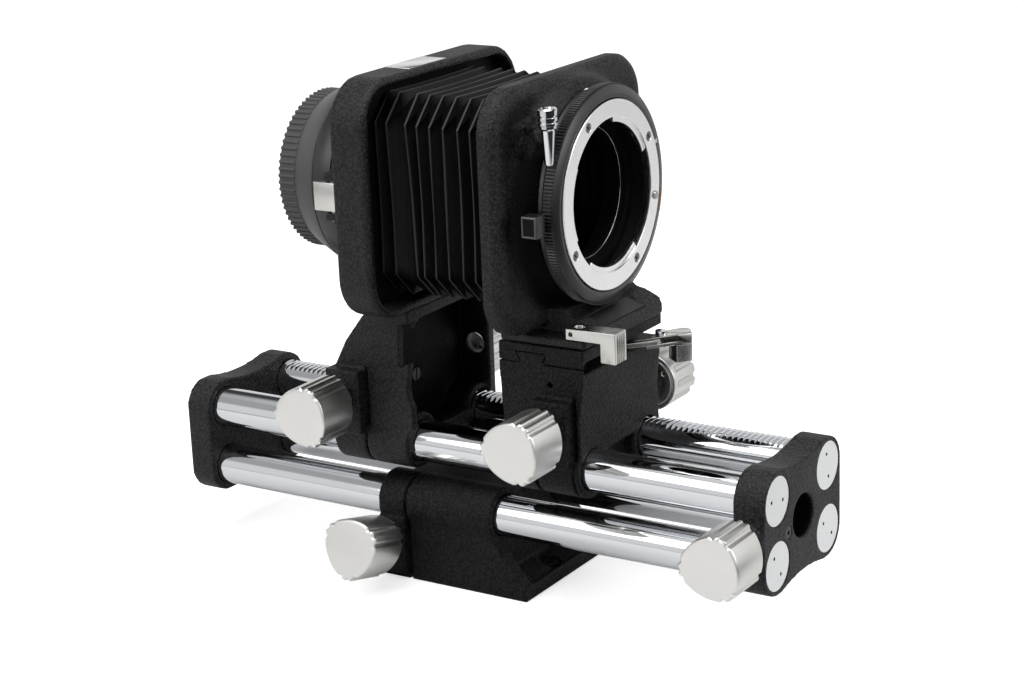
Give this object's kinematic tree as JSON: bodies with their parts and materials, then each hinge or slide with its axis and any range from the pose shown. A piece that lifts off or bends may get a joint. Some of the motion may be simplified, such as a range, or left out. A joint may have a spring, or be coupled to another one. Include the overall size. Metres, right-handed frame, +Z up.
{
  "type": "macro bellows unit",
  "caption": "Close-up bellows on four round rails: two geared standards with a pleated bellows between a lens bayonet and a camera ring, silver lock knobs, a tripod foot",
  "frame": {"origin": "mouth of the tripod socket, on the base's bottom face, on the socket's axis", "axes": "+Y runs along the rails from the lens side to the camera side, +X points away from the lock knobs, +Z is up"},
  "size_m": [0.1009, 0.215, 0.1616],
  "materials": {
    "casting": "black wrinkle paint",
    "bush": "threaded bush, dull steel",
    "black_screw": "blackened steel screw",
    "knob": "satin silver aluminium",
    "steel_pin": "turned steel",
    "rail": "polished chrome",
    "disc": "fine turned silver discs",
    "pinion": "cut brass",
    "gib": "black strip",
    "lever": "satin silver",
    "chrome_screw": "small bright screws",
    "plate_black": "flat black, bare",
    "ring_black": "smooth matte black",
    "bayonet": "satin chrome",
    "baffle": "dull black against reflections",
    "cloth": "pleated black cloth",
    "plate_silver": "bare silver plate",
    "cap": "ribbed black plastic"
  },
  "bodies": {
    "base": {"base_block": "casting", "tripod_bush": "bush", "foot_screws": "black_screw"},
    "base_lock": {"base_lock_knob": "knob", "base_lock_stud": "steel_pin"},
    "rails": {"rail_upper_near": "rail", "rail_upper_far": "rail", "rail_lower_near": "rail", "rail_lower_far": "rail", "front_plate": "casting", "rear_plate": "casting", "front_discs": "disc", "rear_discs": "disc", "front_plate_screw": "black_screw"},
    "rod_lock": {"rod_lock_knob": "knob", "rod_lock_stud": "steel_pin"},
    "front_carriage": {"front_carriage": "casting"},
    "front_drive": {"front_drive_knob": "knob", "front_drive_shaft": "steel_pin", "front_pinion": "pinion"},
    "front_lock": {"front_lock_knob": "knob", "front_lock_stud": "steel_pin"},
    "shift": {"shift_block": "casting", "shift_gib": "gib", "swing_pin": "steel_pin", "shift_lever_pin": "steel_pin"},
    "shift_lever": {"shift_lever": "lever", "shift_lever_bar": "steel_pin", "shift_lever_screw": "chrome_screw"},
    "lens_standard": {"lens_standard": "casting", "name_plate": "plate_black", "mount_collar": "ring_black", "bayonet_ring": "bayonet", "bayonet_screws": "chrome_screw", "lens_lock_pin": "steel_pin", "baffle_tube": "baffle", "cable_socket": "bayonet", "front_bellows_frame": "plate_black"},
    "swing_lever": {"swing_lever": "lever", "swing_lever_screw": "steel_pin"},
    "diaphragm_ring": {"diaphragm_ring": "ring_black"},
    "lens_lock": {"lens_lock_lever": "ring_black"},
    "rear_standard": {"rear_carriage": "casting", "rear_cavity_screw": "black_screw", "rear_frame": "casting", "scale_plate": "plate_silver", "rear_housing": "casting", "ring_release_pin": "steel_pin", "rear_bellows_frame": "plate_black", "bellows": "cloth"},
    "rear_drive": {"rear_drive_knob": "knob", "rear_drive_shaft": "steel_pin", "rear_pinion": "pinion"},
    "rear_lock": {"rear_lock_knob": "knob", "rear_lock_stud": "steel_pin"},
    "camera_mount": {"camera_ring": "ring_black", "camera_bayonet": "bayonet"},
    "ring_release": {"ring_release": "lever"},
    "rear_cap": {"rear_cap": "cap"}
  },
  "joints": [
    {"name": "base_lock_turn", "type": "hinge", "parent": "base", "child": "base_lock", "pos_m": [-0.0335, 0.01645, 0.0143], "axis": [-0.9703, 0, 0.2419], "range_deg": [-90, 90]},
    {"name": "rails_slide", "type": "slide", "parent": "base", "child": "rails", "axis": [0, 1, 0], "range_m": [-0.062, 0.079]},
    {"name": "rod_lock_turn", "type": "hinge", "parent": "rails", "child": "rod_lock", "pos_m": [-0.0345, -0.109, 0.0345], "axis": [-1, 0, 0], "range_deg": [-90, 90]},
    {"name": "front_slide", "type": "slide", "parent": "rails", "child": "front_carriage", "axis": [0, 1, 0], "range_m": [-0.048, 0.009], "deforming": ["bellows"]},
    {"name": "front_drive_turn", "type": "hinge", "parent": "front_carriage", "child": "front_drive", "pos_m": [0.036, -0.043, 0.05529], "axis": [1, 0, 0], "range_deg": [-120, 515]},
    {"name": "front_lock_turn", "type": "hinge", "parent": "front_carriage", "child": "front_lock", "pos_m": [-0.0345, -0.0445, 0.0585], "axis": [-1, 0, 0], "range_deg": [-90, 90]},
    {"name": "lens_shift", "type": "slide", "parent": "front_carriage", "child": "shift", "axis": [1, 0, 0], "range_m": [-0.01, 0.01], "deforming": ["bellows"]},
    {"name": "shift_lever_turn", "type": "hinge", "parent": "shift", "child": "shift_lever", "pos_m": [0.001, -0.0493, 0.0765], "axis": [0, 0, 1], "range_deg": [-40, 3]},
    {"name": "lens_swing", "type": "hinge", "parent": "shift", "child": "lens_standard", "pos_m": [0, -0.041, 0.083], "axis": [0, 0, 1], "range_deg": [-25, 25], "deforming": ["bellows"]},
    {"name": "swing_lever_turn", "type": "hinge", "parent": "lens_standard", "child": "swing_lever", "pos_m": [-0.0213, -0.0525, 0.086], "axis": [0, 0, 1], "range_deg": [-40, 0]},
    {"name": "diaphragm_turn", "type": "hinge", "parent": "lens_standard", "child": "diaphragm_ring", "pos_m": [0, -0.0495, 0.125], "axis": [0, 1, 0], "range_deg": [-15, 15]},
    {"name": "lens_lock_press", "type": "slide", "parent": "lens_standard", "child": "lens_lock", "axis": [0, 0, 1], "range_m": [-0.002, 0], "stiffness_N_per_m": 600, "springref_m": 0.001},
    {"name": "rear_slide", "type": "slide", "parent": "rails", "child": "rear_standard", "axis": [0, 1, 0], "range_m": [-0.009, 0.05], "deforming": ["bellows"]},
    {"name": "rear_drive_turn", "type": "hinge", "parent": "rear_standard", "child": "rear_drive", "pos_m": [0.036, 0.02674, 0.05529], "axis": [1, 0, 0], "range_deg": [-535, 110]},
    {"name": "rear_lock_turn", "type": "hinge", "parent": "rear_standard", "child": "rear_lock", "pos_m": [-0.0345, 0.03104, 0.0585], "axis": [-1, 0, 0], "range_deg": [-90, 90]},
    {"name": "camera_turn", "type": "hinge", "parent": "rear_standard", "child": "camera_mount", "pos_m": [0, 0.03604, 0.125], "axis": [0, 1, 0], "range_deg": [-90, 90]},
    {"name": "ring_release_press", "type": "hinge", "parent": "rear_standard", "child": "ring_release", "pos_m": [-0.0315, 0.02674, 0.1236], "axis": [0, 0, 1], "range_deg": [0, 4], "stiffness_Nm_per_rad": 0.05, "springref_deg": -5.73},
    {"name": "cap_turn", "type": "hinge", "parent": "camera_mount", "child": "rear_cap", "pos_m": [0, 0.03634, 0.125], "axis": [0, 1, 0], "range_deg": [0, 60]}
  ],
  "couplings": [
    {"joint": "front_drive_turn", "follows": "front_slide", "rad_per_m": -185.19},
    {"joint": "rear_drive_turn", "follows": "rear_slide", "rad_per_m": -185.19}
  ]
}
